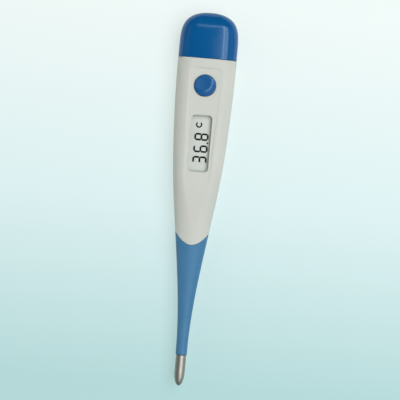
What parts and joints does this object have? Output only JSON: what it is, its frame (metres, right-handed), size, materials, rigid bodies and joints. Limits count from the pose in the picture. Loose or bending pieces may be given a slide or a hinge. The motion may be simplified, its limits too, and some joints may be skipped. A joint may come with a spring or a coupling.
{
  "type": "digital thermometer",
  "caption": "Handheld clinical thermometer with a bendable soft stem, a steel probe tip, a small display with a push button, and a pull-off battery cover.",
  "frame": {"origin": "centre of the bounding box's bottom, on the plane of the flat back that the thermometer lies on", "axes": "+X along the length from the steel tip to the battery cover, +Z out of the display, +Y across the width"},
  "size_m": [0.127, 0.0198, 0.0117],
  "materials": {
    "housing_white": "fine satin moulded ABS",
    "lens_clear": "clear moulded window",
    "button_blue": "satin",
    "cover_blue": "high gloss",
    "stem_blue": "matte soft elastomer",
    "probe_steel": "bright drawn stainless",
    "chassis_grey": "moulded",
    "board_green": "solder resist",
    "lcd_glass": "polished",
    "lcd_film": "polariser film",
    "reflector": "satin film",
    "zebra": "layered silicone",
    "epoxy_black": "satin",
    "epoxy_amber": "clear amber",
    "ceramic_tan": "sintered",
    "ceramic_white": "sintered",
    "black_plastic": "moulded",
    "brass": "rolled",
    "nickel": "nickel plated",
    "seal": "silicone",
    "wire_enamel": "enamelled copper wire"
  },
  "bodies": {
    "housing": {"housing": "housing_white", "window_lens": "lens_clear", "stem_root": "stem_blue", "lead_wire_a": "wire_enamel", "lead_wire_b": "wire_enamel"},
    "button": {"button": "button_blue"},
    "chassis": {"chassis": "chassis_grey", "circuit_board": "board_green", "chip_epoxy": "epoxy_black", "capacitor_1": "ceramic_tan", "capacitor_2": "ceramic_tan", "reference_resistor": "black_plastic", "switch_body": "black_plastic", "lcd_reflector": "reflector", "lcd_rear_glass": "lcd_glass", "lcd_front_glass": "lcd_glass", "lcd_polariser": "lcd_film", "zebra_strip": "zebra", "lcd_holder": "chassis_grey", "sounder_plate": "brass", "sounder_ceramic": "ceramic_white", "sounder_spring_1": "nickel", "sounder_spring_2": "nickel", "contact_positive": "brass", "contact_negative": "brass"},
    "switch_plunger": {"switch_plunger": "chassis_grey"},
    "button_cell": {"cell_can": "nickel", "cell_gasket": "black_plastic", "cell_cup": "nickel"},
    "battery_cover": {"battery_cover": "cover_blue", "cover_seal": "seal"},
    "stem_link_1": {"stem_link_1": "stem_blue"},
    "stem_link_2": {"stem_link_2": "stem_blue"},
    "stem_link_3": {"stem_link_3": "stem_blue"},
    "stem_link_4": {"stem_link_4": "stem_blue"},
    "stem_link_5": {"stem_link_5": "stem_blue"},
    "stem_link_6": {"stem_link_6": "stem_blue", "probe_tip": "probe_steel", "tip_potting": "epoxy_amber", "thermistor": "epoxy_black"}
  },
  "joints": [
    {"name": "button_press", "type": "slide", "parent": "housing", "child": "button", "axis": [0, 0, -1], "range_m": [0, 0.0004], "stiffness_N_per_m": 800},
    {"name": "chassis_draw", "type": "slide", "parent": "housing", "child": "chassis", "axis": [1, 0, 0], "range_m": [0, 0.01], "deforming": ["lead_wire_a", "lead_wire_b"]},
    {"name": "plunger_press", "type": "slide", "parent": "chassis", "child": "switch_plunger", "axis": [0, 0, -1], "range_m": [0, 0.0004]},
    {"name": "cell_removal", "type": "slide", "parent": "chassis", "child": "button_cell", "axis": [1, 0, 0], "range_m": [0, 0.009]},
    {"name": "cover_pull", "type": "slide", "parent": "button_cell", "child": "battery_cover", "axis": [1, 0, 0], "range_m": [0, 0.03]},
    {"name": "stem_pitch_1", "type": "hinge", "parent": "housing", "child": "stem_link_1", "pos_m": [-0.0215, 0, 0.0056], "axis": [0, 1, 0], "range_deg": [-15, 15], "stiffness_Nm_per_rad": 0.02, "deforming": ["lead_wire_a", "lead_wire_b"]},
    {"name": "stem_yaw_1", "type": "hinge", "parent": "stem_link_1", "child": "stem_link_2", "pos_m": [-0.026, 0, 0.0056], "axis": [0, 0, 1], "range_deg": [-15, 15], "stiffness_Nm_per_rad": 0.02, "deforming": ["lead_wire_a", "lead_wire_b"]},
    {"name": "stem_pitch_2", "type": "hinge", "parent": "stem_link_2", "child": "stem_link_3", "pos_m": [-0.0305, 0, 0.0056], "axis": [0, 1, 0], "range_deg": [-15, 15], "deforming": ["lead_wire_a", "lead_wire_b"]},
    {"name": "stem_yaw_2", "type": "hinge", "parent": "stem_link_3", "child": "stem_link_4", "pos_m": [-0.035, 0, 0.0056], "axis": [0, 0, 1], "range_deg": [-15, 15], "deforming": ["lead_wire_a", "lead_wire_b"]},
    {"name": "stem_pitch_3", "type": "hinge", "parent": "stem_link_4", "child": "stem_link_5", "pos_m": [-0.0395, 0, 0.0056], "axis": [0, 1, 0], "range_deg": [-15, 15], "deforming": ["lead_wire_a", "lead_wire_b"]},
    {"name": "stem_yaw_3", "type": "hinge", "parent": "stem_link_5", "child": "stem_link_6", "pos_m": [-0.044, 0, 0.0056], "axis": [0, 0, 1], "range_deg": [-15, 15], "deforming": ["lead_wire_a", "lead_wire_b"]}
  ],
  "couplings": [
    {"joint": "plunger_press", "follows": "button_press", "ratio": 1},
    {"joint": "stem_pitch_2", "follows": "stem_pitch_1", "ratio": 1},
    {"joint": "stem_yaw_2", "follows": "stem_yaw_1", "ratio": 1},
    {"joint": "stem_pitch_3", "follows": "stem_pitch_1", "ratio": 1},
    {"joint": "stem_yaw_3", "follows": "stem_yaw_1", "ratio": 1}
  ]
}
